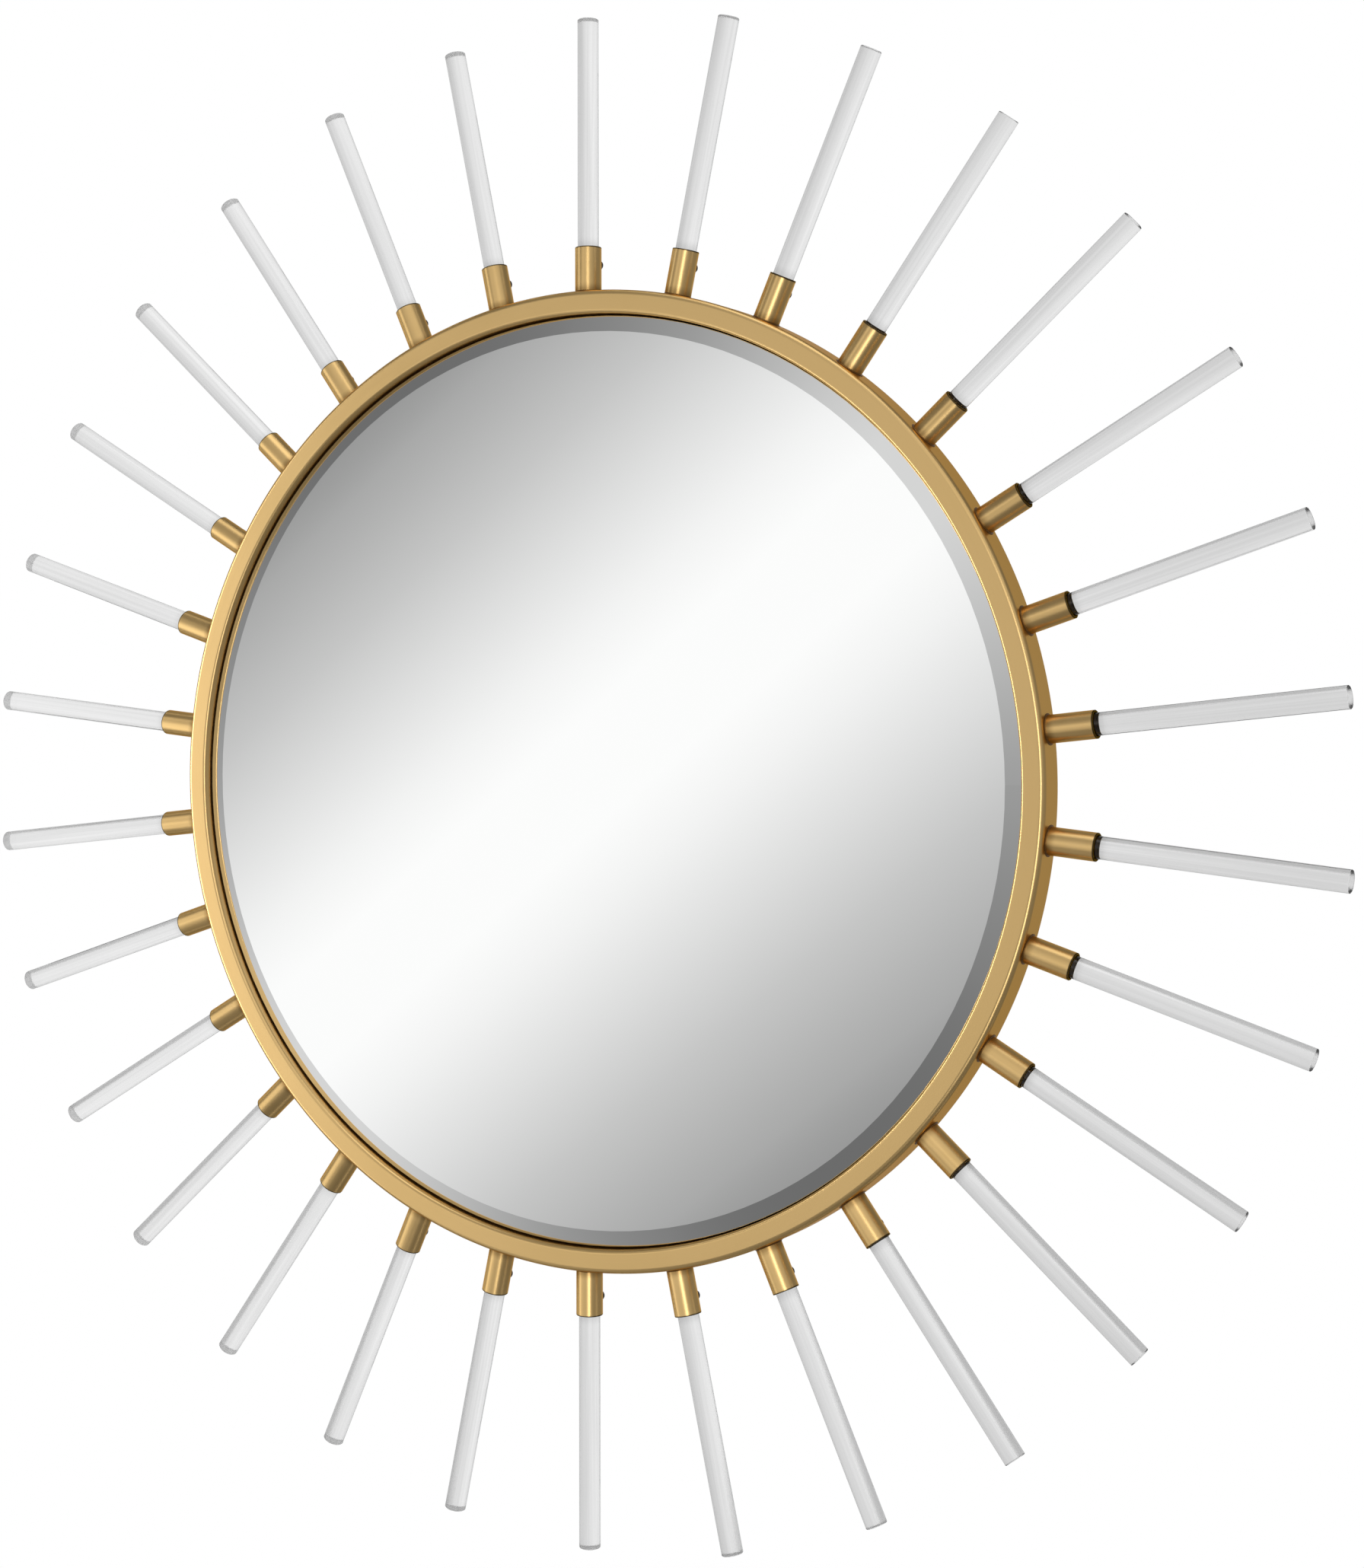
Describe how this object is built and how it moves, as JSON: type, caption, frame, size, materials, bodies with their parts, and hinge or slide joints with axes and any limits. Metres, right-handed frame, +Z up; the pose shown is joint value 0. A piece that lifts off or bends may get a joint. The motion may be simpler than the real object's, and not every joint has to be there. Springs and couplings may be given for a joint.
{
  "type": "sunburst wall mirror",
  "caption": "Round sunburst wall mirror: bevelled glass in a brass ring, with clear acrylic rods clamped in tube sockets round it, hung from D rings behind.",
  "frame": {"origin": "where the ring's axis meets the wall plane, which the rear faces of the bumpers touch", "axes": "+Z up, -Y out of the wall along the ring's axis towards the viewer, +X to the viewer's right"},
  "size_m": [0.9106, 0.037, 0.9144],
  "materials": {
    "brass_frame": "satin brushed brass",
    "brass_sockets": "brushed brass tube",
    "braze_metal": "brazed joint, darker brass",
    "black_steel": "black oxide steel",
    "clear_acrylic": "clear polished acrylic",
    "mirror_glass": "silvered and bevelled",
    "mastic": "mirror mastic",
    "raw_fibreboard": "unpainted fibreboard",
    "black_fibreboard": "fibreboard painted matt black",
    "zinc_screws": "bright zinc plate",
    "zinc_hangers": "zinc plated strap and wire",
    "bumper_rubber": "soft black rubber"
  },
  "bodies": {
    "mirror": {"ring_frame": "brass_frame", "rod_sockets": "brass_sockets", "braze_fillets": "braze_metal", "clamp_screws": "black_steel", "acrylic_rod_01": "clear_acrylic", "acrylic_rod_02": "clear_acrylic", "acrylic_rod_03": "clear_acrylic", "acrylic_rod_04": "clear_acrylic", "acrylic_rod_05": "clear_acrylic", "acrylic_rod_06": "clear_acrylic", "acrylic_rod_07": "clear_acrylic", "acrylic_rod_08": "clear_acrylic", "acrylic_rod_09": "clear_acrylic", "acrylic_rod_10": "clear_acrylic", "acrylic_rod_11": "clear_acrylic", "acrylic_rod_12": "clear_acrylic", "acrylic_rod_13": "clear_acrylic", "acrylic_rod_14": "clear_acrylic", "acrylic_rod_15": "clear_acrylic", "acrylic_rod_16": "clear_acrylic", "acrylic_rod_17": "clear_acrylic", "acrylic_rod_18": "clear_acrylic", "acrylic_rod_19": "clear_acrylic", "acrylic_rod_20": "clear_acrylic", "acrylic_rod_21": "clear_acrylic", "acrylic_rod_22": "clear_acrylic", "acrylic_rod_23": "clear_acrylic", "acrylic_rod_24": "clear_acrylic", "acrylic_rod_25": "clear_acrylic", "acrylic_rod_26": "clear_acrylic", "acrylic_rod_27": "clear_acrylic", "acrylic_rod_28": "clear_acrylic", "acrylic_rod_29": "clear_acrylic", "acrylic_rod_30": "clear_acrylic", "mirror_glass": "mirror_glass", "mastic_dabs": "mastic", "carrier_board": "raw_fibreboard", "rear_board": "black_fibreboard", "frame_screws": "zinc_screws", "carrier_screws": "zinc_screws", "hanger_screws": "zinc_screws", "hanger_strap_left": "zinc_hangers", "hanger_strap_right": "zinc_hangers", "wall_bumper_upper_left": "bumper_rubber", "wall_bumper_upper_right": "bumper_rubber", "wall_bumper_lower_left": "bumper_rubber", "wall_bumper_lower_right": "bumper_rubber"},
    "left_hanger": {"hanger_ring_left": "zinc_hangers"},
    "right_hanger": {"hanger_ring_right": "zinc_hangers"}
  },
  "joints": [
    {"name": "left_hanger_swing", "type": "hinge", "parent": "mirror", "child": "left_hanger", "pos_m": [0.14, -0.00305, 0.14], "axis": [1, 0, 0], "range_deg": [0, 175]},
    {"name": "right_hanger_swing", "type": "hinge", "parent": "mirror", "child": "right_hanger", "pos_m": [-0.14, -0.00305, 0.14], "axis": [1, 0, 0], "range_deg": [0, 175]}
  ]
}
